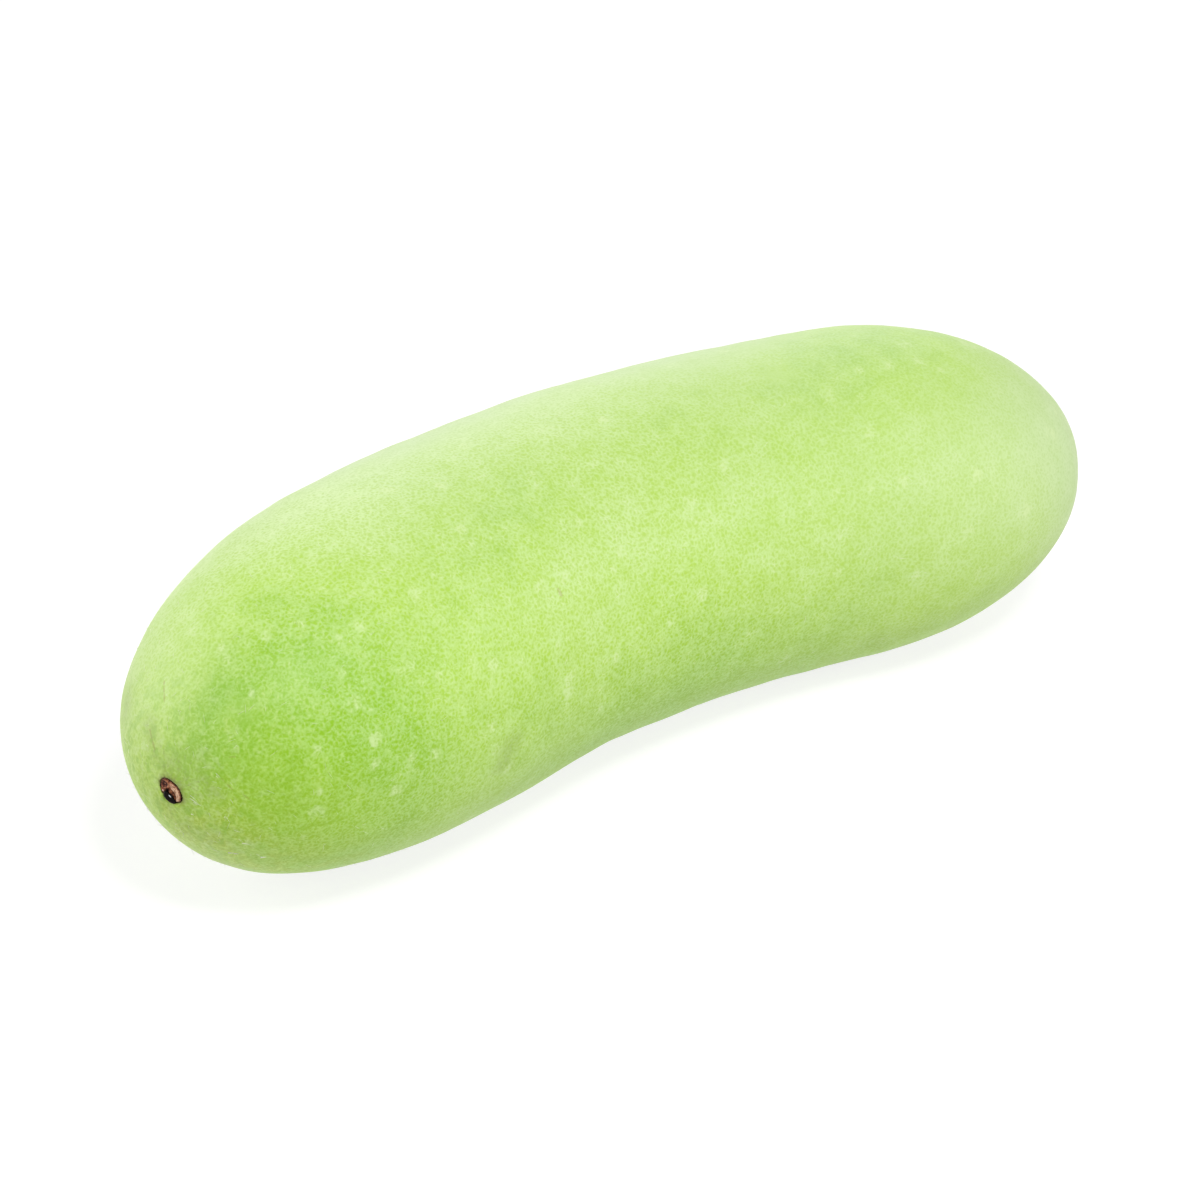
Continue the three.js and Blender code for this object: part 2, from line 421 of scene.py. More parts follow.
skinLook = {  # colours are linear; lengths in mm
    "fleck": [(0.517, 0.730, 0.188), (0.442, 0.700, 0.064), (0.258, 0.536, 0.001)],  # palest to deepest skin
    "net": [(0.680, 0.866, 0.404), (0.568, 0.797, 0.260), (0.418, 0.684, 0.180)],
    "star": (0.73, 0.87, 0.46),
    "waxAndSheenColour": (0.62, 0.74, 0.53),  # the wax bloom, and the painted sheen at the limbs, thickest on the side away from -Y
    "olive": (0.33, 0.46, 0.12),
    "ground": [(0.43, 0.60, 0.04), (0.62, 0.80, 0.24)],  # where it lay on the soil
    "stemTint": (0.955, 0.985, 0.38),  # multiplies the skin's colour towards the stem
    "rich": (0.84, 0.90, 0.50),  # multiplies the skin's colour where it is richest
    "brown": (0.30, 0.20, 0.07),
    "cork": (0.13, 0.095, 0.016),
    "corky": (0.12, 0.85),  # how far the cork fades out from the stub, and how much further on one side
    # painted shadow in the crevice round the stub's socket
    "creviceShade": (0.040, 0.022, 0.006),
    "cellSize": 1.22,
    "grainSize": 0.84,
    "speckSize": 1.6,
    "gritSize": 0.7,
    "mottleSize": 2.8,  # greener and paler patches near the stem
    "clumpSize": 7,
    "cloudSize": 34,
    "starSpacing": 13.5,
    "bend": 1.6,  # how far the net's lines wander
    "bendScale": 420,  # this scale and the next two are per metre
    "jagScale": 620,  # raggedness of stars and scars
    "poreScale": 150,
    "netEdge": (0.98, 0.36),  # where a line of the net starts, and where it is whole
    "calmNet": 0.45,  # what the net fades to where it is calm
    "mottleReach": (38, 12),  # how far from the stem's pole the patches start, and where they are whole
    "paleGrit": 0.26,
    "deepGrit": 0.35,
    "starStrength": 0.45,
    "fleckStrength": 0.49,
    "streaks": 0.4,
    "scratchStrength": 0.3,
    "bump": (0.35, 0.12),  # strength, height
    "roughness": (0.45, 0.53),  # between the net's lines, on them
    "specular": 0.30,
    "sheen": 0.09,
    "sheenRoughness": 0.45,
    "farFromEnds": 60,  # the marks at an end read no distance past this
    "groundTurn": 264,  # the side it lay on, and how wide that is
    "groundSpread": 0.40,
    "depth": 0.40,  # share of deep green away from the zones below
    "deepest": 0.9,
    "underTurn": -25,
    "shadeTowardsUnder": 0.20,  # painted shade: deeper green on the side low towards -Y, paler on the other
    "toneAndLightZones": [  # t, turn, more deep green, spread: real tone, with painted light and shade, the paler ones along turn 20 to 30 as a highlight and the deeper ones near turn 70 and low towards -Y as shade
        (0.03, 0, 0.46, 34),
        (0.07, 40, 0.38, 26),
        (0.07, -5, 0.26, 22),
        (0.50, -38, 0.22, 34),
        (0.33, 72, 0.16, 15),
        (0.55, 82, 0.10, 15),
        (0.82, 86, 0.36, 26),
        (0.90, 115, 0.18, 20),
        (0.65, 47, 0.10, 7),
        (0.22, 108, -0.30, 24),
        (0.40, 70, 0.16, 16),
        (0.53, 70, 0.16, 16),
        (0.69, 70, 0.12, 15),
        (0.92, -20, 0.20, 16),
        (0.46, -25, 0.12, 16),
        (0.18, 28, -0.10, 16),
        (0.035, 52, 0.18, 8),
        (0.48, 115, -0.24, 34),
        (0.96, 35, -0.55, 28),
        (0.80, 20, -0.14, 24),
        (0.42, 28, -0.20, 20),
        (0.60, 25, -0.15, 24),
        (0.12, 25, -0.10, 12),
        (0.03, 110, -0.30, 18),
        (0.97, -40, -0.06, 18),
        (0.005, -50, -0.20, 12),
        (0.20, -15, -0.12, 24),
    ],
    "calm": [  # t, turn, how far the net fades, spread
        (0.687, 80, 0.5, 3.2),
        (0.038, 58, 0.7, 2.8),
        (0.94, 40, 0.30, 34),
        (0.15, 15, 0.14, 26),
        (0.74, 112, 0.30, 48),
    ],
    "waxAndSheen": [  # t, turn, more wax bloom and painted sheen, spread
        (0.35, 140, 0.48, 37),
        (0.65, 140, 0.48, 37),
        (0.98, 60, 0.32, 24),
        (0.80, 35, 0.14, 30),
        (0.03, 125, 0.22, 18),
        (0.03, -88, 0.12, 12),
        (0.06, -98, 0.35, 9),
    ],
    "richer": [  # t, turn, how much, spread
        (0.030, 0, 0.45, 9),
        (0.065, -5, 0.50, 13),
        (0.100, -28, 0.20, 12),
        (0.030, 48, 0.45, 9),
    ],
    "yellowed": [  # t, turn, more of the ground's yellow, spread
        (0.010, -66, 0.45, 13),
        (0.035, -58, 0.34, 13),
        (0.09, -62, 0.26, 16),
        (0.004, -20, 0.15, 7),
    ],
    "stains": [  # t, turn, olive, spread
        (0.262, 353, 0.75, 2.8),
        (0.254, 346, 0.75, 2.8),
        (0.040, 156, 0.65, 3.2),
        (0.0105, 127, 0.55, 2.2),
        (0.016, 128, 0.45, 2.2),
        (0.0075, 60, 0.25, 2.5),
        (0.0066, 17, 0.40, 1.5),
        (0.0080, 7, 0.40, 1.5),
        (0.0054, 30, 0.35, 1.3),
        (0.0090, -77, 0.30, 3.0),
        (0.0130, -52, 0.30, 3.0),
        (0.0052, 133, 0.30, 1.8),
        (0.0034, 93, 0.35, 2.0),
        (0.0025, 118, 0.35, 1.8),
    ],
    "flecks": [  # pale ones: t, turn, strength, spread
        (0.016, -13, 0.4, 1.0), (0.026, 53, 0.6, 1.2), (0.051, 61, 0.7, 1.2), (0.058, -9, 0.6, 1.1),
        (0.063, 2, 0.6, 1.1), (0.064, 87, 0.8, 1.3), (0.068, 22, 0.7, 1.2), (0.073, 106, 0.7, 1.3),
        (0.081, -7, 0.5, 1.1), (0.090, 74, 0.7, 1.3), (0.110, 8, 0.8, 1.3), (0.114, 17, 1.0, 1.5),
        (0.114, 68, 0.6, 1.2), (0.121, 28, 0.5, 1.1), (0.128, 55, 0.6, 1.2), (0.130, -6, 1.0, 1.5),
        (0.142, 67, 0.5, 1.1), (0.146, 5, 0.7, 1.2), (0.149, 54, 0.7, 1.3), (0.159, 34, 0.6, 1.1),
        (0.165, 64, 0.6, 1.1), (0.169, 3, 0.8, 1.4), (0.174, 28, 0.6, 1.1), (0.192, 27, 0.7, 1.2),
        (0.205, 64, 0.7, 1.2), (0.221, 34, 0.6, 1.1), (0.235, 3, 0.8, 1.3), (0.243, 53, 0.6, 1.1),
        (0.250, 22, 1.0, 1.4), (0.293, 63, 1.0, 1.2), (0.304, 31, 0.6, 1.1), (0.336, 65, 0.6, 1.1),
        (0.339, 5, 1.0, 1.5), (0.385, -13, 0.7, 1.2), (0.399, 71, 0.7, 1.2), (0.401, 4, 0.8, 1.3),
        (0.420, 31, 0.7, 1.2), (0.439, 71, 0.6, 1.1), (0.441, -10, 0.6, 1.1), (0.472, 8, 0.7, 1.2),
        (0.486, 62, 0.6, 1.1), (0.501, 81, 0.9, 1.3), (0.515, 13, 1.0, 1.5), (0.522, 61, 0.5, 1.1),
        (0.551, 35, 0.5, 1.1), (0.733, 31, 0.6, 1.1), (0.750, 50, 0.6, 1.1), (0.765, 75, 0.8, 1.2),
        (0.782, -2, 0.8, 1.2), (0.849, 73, 0.6, 1.2),
    ],
    "scratches": [  # t and turn of one end, of the other, width
        (0.0364, 114, 0.0245, 111, 0.32),
        (0.0128, 128, 0.0062, 127, 0.36),
        (0.0099, 31.5, 0.0135, 12, 0.22),
        (0.0175, 6.8, 0.0216, 0, 0.20),
        (0.2425, 312, 0.2430, 311.6, 1.0),
        (0.350, 33, 0.351, 31.5, 0.9),
        (0.018, 40, 0.0200, 38.5, 0.2),
    ],
}


def sumOfBells(places, points):
    # Sum of bells, each amount * exp(-distance^2 / 2 spread^2) from a place on the skin.
    total = np.zeros(points.shape[:-1])
    for t, turn, amount, reach in places:
        total += amount * bell(np.linalg.norm(points - atPlace(t, turn), axis=-1), reach)
    return total


def greenDepthAndShade(angle, points):
    # An even share, deeper towards the under side and paler on the other as painted shade, plus the zones of
    # deeper and paler green, some of them painted highlight and shade.
    base = skinLook["depth"] + skinLook["shadeTowardsUnder"] * np.cos(angle - math.radians(skinLook["underTurn"]))
    return np.clip(base + sumOfBells(skinLook["toneAndLightZones"], points), 0, skinLook["deepest"])


def corkiness(t, angle, pastEdge):
    # 1 at the stub's edge, fading over a distance that is longer on the side the ridge runs.
    ridgeSide = smooth(0.5 + 0.75 * np.sin(angle - math.radians(socket["turn"])))
    reach = skinLook["corky"][0] + skinLook["corky"][1] * ridgeSide
    return np.where(t < 0.5, np.exp(-np.maximum(pastEdge, 0) / reach), 0), ridgeSide


def zone(name, most=1):
    return np.clip(sumOfBells(skinLook[name], skinPoints), 0, most)


def makeSkin():
    # The grid of skinPoints closed at its two poles, with the zones and distances that its material reads.
    pole = np.array([0.0]), np.array([0.0])
    stemPole = inFrame(plainSkin(*pole))[0]
    blossomPole = inFrame(plainSkin(pole[0] + 1, pole[1]))[0]
    points = inFrame(skinPoints)
    line = points[:, 0]
    gone = np.concatenate([[0], np.cumsum(np.linalg.norm(np.diff(line, axis=0), axis=1))])
    ends = np.linalg.norm(line[0] - stemPole), np.linalg.norm(line[-1] - blossomPole)
    rows = (gone + ends[0]) / (gone[-1] + sum(ends))
    piece = closedMesh("gourd_skin", points, stemPole, blossomPole, rows)

    t, angle = np.broadcast_arrays(ringT[:, None], turns[None, :])
    far = skinLook["farFromEnds"]
    radius = np.minimum(radiusAt(t), far)
    pastEdge = np.where(t < 0.5, radiusAt(t) - stubEdge(angle, socket["gap"]), far)
    corky, ridgeSide = corkiness(t, angle, pastEdge)
    lay = bell(np.sin((angle - math.radians(skinLook["groundTurn"])) / 2), skinLook["groundSpread"])
    values = {  # name: values over the grid, value at the stem pole, value at the blossom pole
        "depthAndShade": (greenDepthAndShade(angle, skinPoints), 0.8, 0.1),
        "calm": (zone("calm"), 0, 0.3),
        "waxAndSheen": (zone("waxAndSheen"), 0, 0.3),
        "olive": (zone("stains"), 0, 0),
        "ground": (lay + sumOfBells(skinLook["yellowed"], skinPoints), 0, 0),
        "fromStem": (np.where(t < 0.5, radius, far), 0, far),
        "fromBlossom": (np.where(t > 0.5, radius, far), far, 0),
        "pastEdge": (np.minimum(pastEdge, far), -3, far),
        "richer": (zone("richer"), 0, 0),
        "fleck": (zone("flecks", 1.2), 0, 0),
        "corky": (corky, 1, 0),
        "ridgeSide": (ridgeSide, 0, 0),
        "rayX": (np.cos(angle), 0, 0),
        "rayY": (np.sin(angle), 0, 0),
    }
    for name, (grid, first, last) in values.items():
        pointAttribute(piece, name, np.concatenate([grid.ravel(), [first, last]]))
    return piece


def netOfCells(tree, place, depthAndShade):
    # The pale net, 1 on its lines: the distance to a cell's edge, bent by noise, and broken up by grain,
    # by specks and by larger clumps. Gives all the patterns that the other layers share.
    look = skinLook
    bend = noise(tree, place, look["bendScale"], 1, output="Color")
    bend = vectorCalc(tree, "SUBTRACT", bend, (0.5, 0.5, 0.5))
    bent = vectorCalc(tree, "ADD", place, scaled(tree, bend, look["bend"] * mm))
    settings = {"Vector": bent, "Scale": perSize(look["cellSize"])}
    cells = addNode(tree, "ShaderNodeTexVoronoi", settings, feature="DISTANCE_TO_EDGE").outputs["Distance"]
    grain = noise(tree, place, perSize(look["grainSize"]), 1)
    specks = noise(tree, bent, perSize(look["speckSize"]), 1.5, 0.6)
    clumps = noise(tree, place, perSize(look["clumpSize"]), 2)
    edge = plus(tree, cells, grain, 0.8)
    edge = plus(tree, edge, clumps, 0.20)
    edge = plus(tree, edge, depthAndShade, 0.06)
    broken = times(tree, calc(tree, "SUBTRACT", specks, 0.5), shade(tree, depthAndShade, 0.1, 1.0, 0.25, 1.0))
    edge = plus(tree, edge, broken, 0.9)
    net = shade(tree, edge, *look["netEdge"])
    calm = attribute(tree, "calm")
    net = addNode(tree, "ShaderNodeMix", {0: calm, 2: net, 3: look["calmNet"]}).outputs[0]
    clouds = noise(tree, place, perSize(look["cloudSize"]), 3, 0.55)
    jag = noise(tree, place, look["jagScale"], 2, 0.6)
    return {
        "bent": bent,
        "specks": specks,
        "clumps": clumps,
        "clouds": clouds,
        "jag": jag,
        "net": net,
        "calm": calm,
    }


def greenLayers(tree, place, depthAndShade, shared):
    # The green and the net over it, each coloured by how deep the green is here, painted shade and highlight
    # included; then the grit, and the
    #  yellowed, stem-end, richer and mottled zones, and the wax bloom with painted sheen.
    look = skinLook
    net, clumps, clouds = shared["net"], shared["clumps"], shared["clouds"]
    fromStem = attribute(tree, "fromStem")
    depthAndShade = sway(tree, sway(tree, depthAndShade, clouds, 0.5), clumps, 0.42, clamp=True)
    colour = mixColours(tree, net, ramp(tree, depthAndShade, look["fleck"]), ramp(tree, depthAndShade, look["net"]))
    bright = times(tree, shade(tree, plus(tree, shared["specks"], clumps, -0.45), 0.33, 0.55), net)
    bright = times(tree, bright, plus(tree, 0.55, shared["calm"], -0.5))
    colour = paint(tree, colour, bright, look["star"])
    grit = noise(tree, place, perSize(look["gritSize"]), 1)
    paleGrit = times(tree, shade(tree, grit, 0.52, 0.74), shade(tree, depthAndShade, 0.2, 1.0, 0.0, look["paleGrit"]))
    colour = paint(tree, colour, paleGrit, look["star"])
    deepGrit = times(tree, shade(tree, grit, 0.46, 0.26), shade(tree, depthAndShade, 0.2, 1.0, 0.0, look["deepGrit"]))
    colour = paint(tree, colour, deepGrit, look["fleck"][-1])
    ground = times(tree, attribute(tree, "ground"), shade(tree, clumps, 0.35, 0.65, 0.32, 0.75))
    colour = mixColours(tree, ground, colour, ramp(tree, net, look["ground"]))
    tint = times(tree, shade(tree, fromStem, 50, 8), shade(tree, net, 0, 1, 0.78, 0.58))
    colour = paint(tree, colour, tint, look["stemTint"], "MULTIPLY")
    colour = paint(tree, colour, attribute(tree, "richer"), look["rich"], "MULTIPLY")
    mottle = noise(tree, shared["bent"], perSize(look["mottleSize"]), 2, 0.6)
    far, near = look["mottleReach"]
    greenPatch = times(tree, shade(tree, mottle, 0.50, 0.34), shade(tree, fromStem, far, near, 0.0, 0.50))
    colour = paint(tree, colour, greenPatch, look["fleck"][-1])
    palePatch = times(tree, shade(tree, mottle, 0.52, 0.68), shade(tree, fromStem, far, near, 0.0, 0.24))
    colour = paint(tree, colour, palePatch, look["star"])
    # Wax bloom, with painted sheen where the limbs look whitest.
    waxAndSheen = times(tree, attribute(tree, "waxAndSheen"), shade(tree, clouds, 0.1, 0.7, 0.4, 1.0))
    return paint(tree, colour, waxAndSheen, look["waxAndSheenColour"])


def starLayer(tree, colour, shared):
    # Scattered pale stars with ragged edges, and the larger flecks, both faint between the net's lines.
    look = skinLook
    jag = shared["jag"]
    spacing = perSize(look["starSpacing"])
    stars = addNode(tree, "ShaderNodeTexVoronoi", {"Vector": shared["bent"], "Scale": spacing})
    ragged = plus(tree, stars.outputs["Distance"], jag, 0.45)
    star = times(tree, shade(tree, ragged, 0.44, 0.24), look["starStrength"])
    fleck = times(tree, attribute(tree, "fleck"), shade(tree, jag, 0.25, 0.7, 0.5, 1.5))
    fleck = times(tree, shade(tree, fleck, 0.2, 0.85), look["fleckStrength"])
    star = times(tree, calc(tree, "MAXIMUM", star, fleck), shade(tree, shared["net"], -0.6, 0.7))
    return paint(tree, colour, star, look["star"])


def raysFrom(tree, reach, scale, detail, roughness=0.5):
    # Noise stretched along the lines that run out from the poles; reach is how fast it changes along them.
    fromStem = times(tree, attribute(tree, "fromStem"), reach)
    place = together(tree, attribute(tree, "rayX"), attribute(tree, "rayY"), fromStem)
    return noise(tree, place, scale, detail, roughness)


def stainLayer(tree, place, colour, rays, shared):
    # Olive stains, darker streaks and short dashes running out from the stem, the odd dark pore, scratches.
    look = skinLook
    jag = shared["jag"]
    fromStem = attribute(tree, "fromStem")
    nearStem = shade(tree, fromStem, 15, 3.5)
    streak = times(tree, shade(tree, rays, 0.42, 0.72), nearStem)
    stain = times(tree, streak, look["streaks"])
    stain = calc(tree, "ADD", stain, times(tree, attribute(tree, "olive"), jag), clamp=True)
    stain = plus(tree, stain, nearStem, 0.10, clamp=True)
    dashes = shade(tree, raysFrom(tree, 0.09, 16, 2), 0.53, 0.68)
    dashes = times(tree, dashes, shade(tree, jag, 0.42, 0.62))
    dashes = times(tree, dashes, shade(tree, fromStem, 17, 5))
    dashes = times(tree, dashes, shade(tree, attribute(tree, "rayY"), -0.4, 0.6, 0.15, 0.65))
    colour = paint(tree, colour, calc(tree, "ADD", stain, dashes, clamp=True), look["olive"])
    pores = addNode(tree, "ShaderNodeTexVoronoi", {"Vector": place, "Scale": look["poreScale"]})
    pore = shade(tree, pores.outputs["Distance"], 0.055, 0.02)
    pore = times(tree, pore, shade(tree, shared["clumps"], 0.5, 0.62, 0.0, 0.5))
    colour = paint(tree, colour, pore, look["olive"])
    for t, turn, endT, endTurn, width in look["scratches"]:
        stroke = alongStroke(tree, place, skinPlace(t, turn), skinPlace(endT, endTurn), width * mm, jag)
        colour = paint(tree, colour, times(tree, stroke, look["scratchStrength"]), look["brown"])
    return colour


def scarLayer(tree, colour, rays, jag):
    # Corky brown round the stub, a ragged scar with a pale ring at the blossom's pole, and painted shadow
    #  in the crevice of the stub's socket.
    look = skinLook
    halo = times(tree, attribute(tree, "corky"), shade(tree, jag, 0.3, 0.7, 0.75, 1.25), clamp=True)
    halo = times(tree, halo, shade(tree, rays, 0.25, 0.75, 0.8, 1.1), clamp=True)
    colour = paint(tree, colour, halo, look["cork"])
    fromBlossom = plus(tree, plus(tree, attribute(tree, "fromBlossom"), jag, 1.6), rays, 2.4)
    paleRing = times(tree, shade(tree, fromBlossom, 10.0, 6.0), 0.35)
    colour = paint(tree, colour, paleRing, look["star"])
    blossom = times(tree, shade(tree, fromBlossom, 5.8, 4.2), shade(tree, jag, 0.3, 0.7, 0.65, 0.95))
    colour = paint(tree, colour, blossom, look["brown"])
    colour = paint(tree, colour, times(tree, shade(tree, fromBlossom, 3.6, 2.6), 0.85), look["cork"])
    # Painted shadow in the socket's crevice, lighter on the ridge's side.
    creviceShade = shade(tree, plus(tree, attribute(tree, "pastEdge"), jag, 0.4), 0.16, -0.12)
    creviceShade = times(tree, creviceShade, shade(tree, attribute(tree, "ridgeSide"), 0, 1, 1.0, 0.22))
    return paint(tree, colour, creviceShade, look["creviceShade"])


def skinMaterial():
    look = skinLook
    material, tree = newMaterial("gourd_skin")
    place = objectPlace(tree)
    depthAndShade = attribute(tree, "depthAndShade")
    shared = netOfCells(tree, place, depthAndShade)
    rays = raysFrom(tree, 0.035, 4.5, 3, 0.65)
    colour = greenLayers(tree, place, depthAndShade, shared)
    colour = starLayer(tree, colour, shared)
    colour = stainLayer(tree, place, colour, rays, shared)
    colour = scarLayer(tree, colour, rays, shared["jag"])
    height = plus(tree, times(tree, shared["net"], 0.6), shared["clumps"], 1.2)
    strength, rise = look["bump"]
    bumped = addNode(tree, "ShaderNodeBump", {"Height": height, "Strength": strength, "Distance": rise * mm})
    bsdf = addNode(tree, "ShaderNodeBsdfPrincipled", {
        "Base Color": colour,
        "Roughness": shade(tree, shared["net"], 0.0, 1.0, *look["roughness"]),
        "Normal": bumped.outputs[0],
        "Specular IOR Level": look["specular"],
        "Sheen Weight": look["sheen"],
        "Sheen Roughness": look["sheenRoughness"],
    })
    finishMaterial(tree, bsdf.outputs[0])
    return material


def skinPlace(t, turn):
    # A place on the finished skin in the frame's metres.
    return inFrame(skinSurface(np.array([float(t)]), np.radians([float(turn)])))[0]


skin = makeSkin()
skin.data.materials.append(skinMaterial())
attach(skin, "root")
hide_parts("fruit")
print("skin:", len(skin.data.vertices), "points")


stub = {  # what the stem left; mm; x runs the longer way from the knob, y towards the sap, z out of the fruit
    "rimDip": 0.35,
    "flare": 0.055,  # how much wider the rim is on the ridge's side
    "taper": 0.8,
    "ribs": [(5, 0.03, 0), (11, 0.015, 1)],  # how many round the rim, depth, phase
    "rough": (0.75, 0.06, 18),  # wavelength, height, waves
    "around": 180,
    "rings": 64,
    "wallRings": 10,
    "seed": 3,
    "cutLevel": -0.22,  # height of the cut end between its lumps
    "ridgeAt": -2.13,
    "ridgeCurls": (0.35, 1.9),  # how far it curls in towards the knob, and at the other end
    "knob": (-2.2, -0.42),
    "knobRings": [(1.12, 0.34, 0.20), (0, 0.22, 0.20), (0, -0.30, 0.75)],  # distance, height, spread
    "lumps": [  # x, y, how much longer along x, height, spread
        (-0.75, 0.35, 1, -0.34, 0.30),
        (-0.20, 1.0, 1, -0.30, 0.30),
        (0.15, 0.15, 1, 0.22, 0.24),
        (-0.65, -0.55, 1, 0.22, 0.26),
        (-1.35, 1.35, 1.3, 0.45, 0.34),
    ],
    "paintedGlintPlace": (-1.35, 1.30, 1.3, 0.20),  # painted highlight: x, y, how much longer along x, spread
    "flesh": [(0.020, 0.005, 0.003), (0.13, 0.032, 0.012), (0.36, 0.125, 0.045)],  # painted shade in the dents to painted light on the crests
    "tan": [(0.11, 0.035, 0.016), (0.44, 0.20, 0.10), (0.85, 0.54, 0.36)],
    "knobColours": [(0.030, 0.005, 0.003), (0.10, 0.016, 0.007), (0.60, 0.28, 0.17)],
    # painted shadow on the stub's rim and wall
    "edge": (0.020, 0.008, 0.003),
    # the painted highlight's colour
    "pale": (0.80, 0.58, 0.50),
    "roughness": (0.25, 0.45),
    "specular": 0.22,
}


def poleFrame():
    # The middle of the stub, its long and short directions, and straight out of the fruit.
    place, along, side, up = axisFrame(np.array(0.0))
    offSide, offUp, _ = fruit["stemOff"]
    turn = math.radians(socket["turn"])
    long = math.cos(turn) * side + math.sin(turn) * up
    middle = place + offSide * side + offUp * up - socket["level"] * along
    return middle, long, np.cross(along, long), -along


def onStub(x, y, z):
    # From the stub's own mm to the frame: middle + x long + y short + z out.
    place, long, short, out = poleFrame()
    return inFrame(place + x[..., None] * long + y[..., None] * short + z[..., None] * out)


def ridgeMiddle(x):
    # Where the torn ridge runs, as y along the stub: beside one edge, curling in towards both ends.
    knobCurl, farCurl = stub["ridgeCurls"]
    return stub["ridgeAt"] + knobCurl * smooth((-x - 0.2) / 2.0) + farCurl * smooth((x - 1.2) / 2.4)


def stubHeight(x, y):
    # Torn fibres in a ridge along one side, rings round a knob at one end, and lumps and dents between
    # them: a sum of bells, each height * exp(-(distance / spread)^2 / 2).
    fromRidge = y - ridgeMiddle(x)
    height = stub["cutLevel"] + 0.38 * bell(fromRidge, 0.42) * smooth((x + 1.9) / 1.0)
    height = height + 0.26 * bell(fromRidge - 0.85 - 0.1 * np.sin(2.1 * x), 0.30) * smooth((x + 0.9) / 0.9)
    fromKnob = np.hypot(x - stub["knob"][0], y - stub["knob"][1])
    for away, rise, spread in stub["knobRings"]:
        height = height + rise * bell(fromKnob - away, spread)
    for lumpX, lumpY, stretch, rise, spread in stub["lumps"]:
        height = height + rise * bell(np.hypot((x - lumpX) / stretch, y - lumpY), spread)
    return height


def makeStub():
    # The cut end is an oval, share 0 to 1 from its middle to its rim, lifted by stubHeight; the wall goes
    # down from the rim and narrows. The rim is ribbed, and wider and higher on the ridge's side.
    turnsRound = -np.linspace(0, 2 * math.pi, stub["around"], endpoint=False)
    share = np.linspace(0, 1, stub["rings"] + 1)[1:, None]
    ownX = socket["length"] / 2 * np.cos(turnsRound)
    ownY = socket["width"] / 2 * np.sin(turnsRound)
    ridgeSide = smooth((0.2 - ownY) / 2.2)
    outline = 1 + stub["flare"] * ridgeSide
    for ribs, depth, phase in stub["ribs"]:
        outline = outline + depth * np.cos(ribs * turnsRound + phase)
    x, y = share * ownX * outline, share * ownY * outline
    generator = np.random.default_rng(stub["seed"])
    rough = waves(np.stack([0.6 * x, 1.2 * y, 0 * x], axis=-1), *stub["rough"], generator)
    rim = -stub["rimDip"] * (1 - 0.7 * ridgeSide)
    atRim = share**10
    top = (stubHeight(x, y) + rough) * (1 - atRim) + rim * atRim
    wall = np.linspace(0, 1, stub["wallRings"] + 1)[1:, None]
    narrow = 1 - (1 - stub["taper"]) * wall * 0.5
    xAll = np.concatenate([x, narrow * x[-1]])
    yAll = np.concatenate([y, narrow * y[-1]])
    zAll = np.concatenate([top, rim - wall * (socket["depth"] + rim)])
    middle = np.array([0.0])
    firstPole = onStub(middle, middle, stubHeight(middle, middle))[0]
    lastPole = onStub(middle, middle, middle - socket["depth"])[0]
    piece = closedMesh("stem_stub_scar", onStub(xAll, yAll, zAll), firstPole, lastPole)
    fromRidge = yAll - ridgeMiddle(xAll)
    onRidge = smooth((fromRidge + 0.7) / 0.4) * smooth((1.35 - fromRidge) / 0.6)
    sapSide = smooth((y + 0.6) / 1.6)
    # painted shadow: dark on the rim's outer share and down the wall, most on the sap's side
    edge = np.concatenate([smooth((share - 0.87 + 0.11 * sapSide) / 0.10), 1 + 0 * wall * ownX])
    paleX, paleY, stretch, spread = stub["paintedGlintPlace"]
    values = {
        "knob": bell(np.hypot(xAll - stub["knob"][0], yAll - stub["knob"][1]), 0.75),
        "ridge": onRidge * smooth((xAll + 1.5) / 1.3),
        "heightForShade": zAll,
        "fibre": fromRidge,
        "alongX": xAll,
        "edge": edge * (0.25 + 0.75 * smooth((yAll + 1.5) / 2.5)),
        "pale": bell(np.hypot((xAll - paleX) / stretch, yAll - paleY), spread),
    }
    for name, grid in values.items():
        pointAttribute(piece, name, np.concatenate([grid.ravel(), [0, 0]]))
    return piece


def stubMaterial():
    material, tree = newMaterial("stem_stub_scar")
    specks = noise(tree, objectPlace(tree), 1900, 3, 0.6)
    across = times(tree, attribute(tree, "fibre"), 2.6)
    along = times(tree, attribute(tree, "alongX"), 0.7)
    strands = noise(tree, together(tree, across, along, specks), 1.5, 3, 0.6)
    # Painted light and shade by height: lighter on the crests, darker in the dents; the flesh, tan and knob
    # colours all follow it.
    bright = shade(tree, attribute(tree, "heightForShade"), -0.75, 0.25)
    bright = sway(tree, bright, specks, 3.2, clamp=True)
    torn = sway(tree, bright, strands, 4.2, clamp=True)
    colour = ramp(tree, bright, stub["flesh"])
    colour = mixColours(tree, attribute(tree, "ridge"), colour, ramp(tree, torn, stub["tan"]))
    knob = times(tree, attribute(tree, "knob"), 1.25, clamp=True)
    colour = mixColours(tree, knob, colour, ramp(tree, bright, stub["knobColours"]))
    # A painted highlight: the pale spot on a lump near the knob.
    colour = paint(tree, colour, shade(tree, attribute(tree, "pale"), 0.45, 0.8), stub["pale"])
    # Painted shadow on the rim and wall, where the crevice round the stub is.
    edge = times(tree, attribute(tree, "edge"), shade(tree, specks, 0.2, 0.5, 0.6, 1.0))
    colour = paint(tree, colour, edge, stub["edge"])
    bumped = addNode(tree, "ShaderNodeBump", {"Height": strands, "Strength": 0.7, "Distance": 0.2 * mm})
    bsdf = addNode(tree, "ShaderNodeBsdfPrincipled", {
        "Base Color": colour,
        "Roughness": shade(tree, specks, 0.3, 0.7, *stub["roughness"]),
        "Specular IOR Level": stub["specular"],
        "Normal": bumped.outputs[0],
    })
    finishMaterial(tree, bsdf.outputs[0])
    return material


